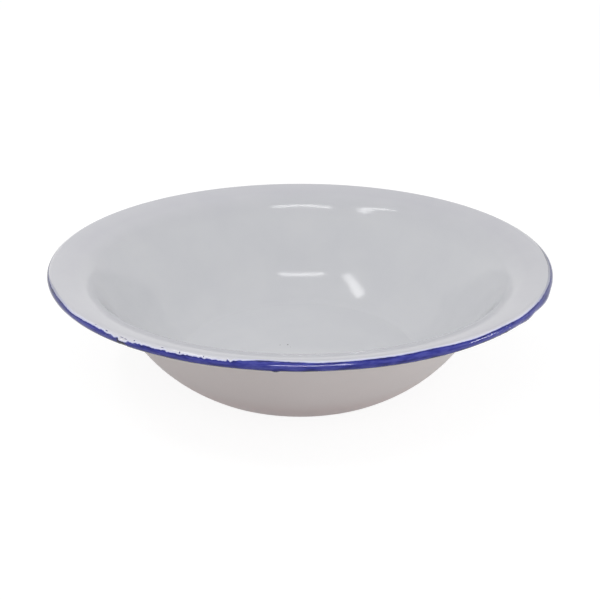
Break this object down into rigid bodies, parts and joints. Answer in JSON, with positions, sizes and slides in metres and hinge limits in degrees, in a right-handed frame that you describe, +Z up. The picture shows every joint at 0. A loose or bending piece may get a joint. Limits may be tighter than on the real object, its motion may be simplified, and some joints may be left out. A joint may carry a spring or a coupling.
{
  "type": "enamel basin bowl",
  "caption": "Round pressed-steel basin bowl in white enamel, with a flat base, flared wall, sloping brim and a rolled rim edged in blue, for washing, mixing and carrying food or water.",
  "frame": {"origin": "centre of the base's underside, on the surface that the bowl stands on", "axes": "+Z up along the axis the bowl is turned about; +Y away from the viewer of the picture"},
  "size_m": [0.3, 0.3, 0.074],
  "materials": {
    "steel": "satin",
    "ground_enamel": "satin",
    "white_enamel": "gloss",
    "blue_enamel": "gloss"
  },
  "bodies": {
    "root": {"steel_shell": "steel", "ground_coat_inside": "ground_enamel", "ground_coat_outside": "ground_enamel", "white_coat_inside": "white_enamel", "white_coat_outside": "white_enamel", "blue_rim_band": "blue_enamel"}
  },
  "joints": []
}
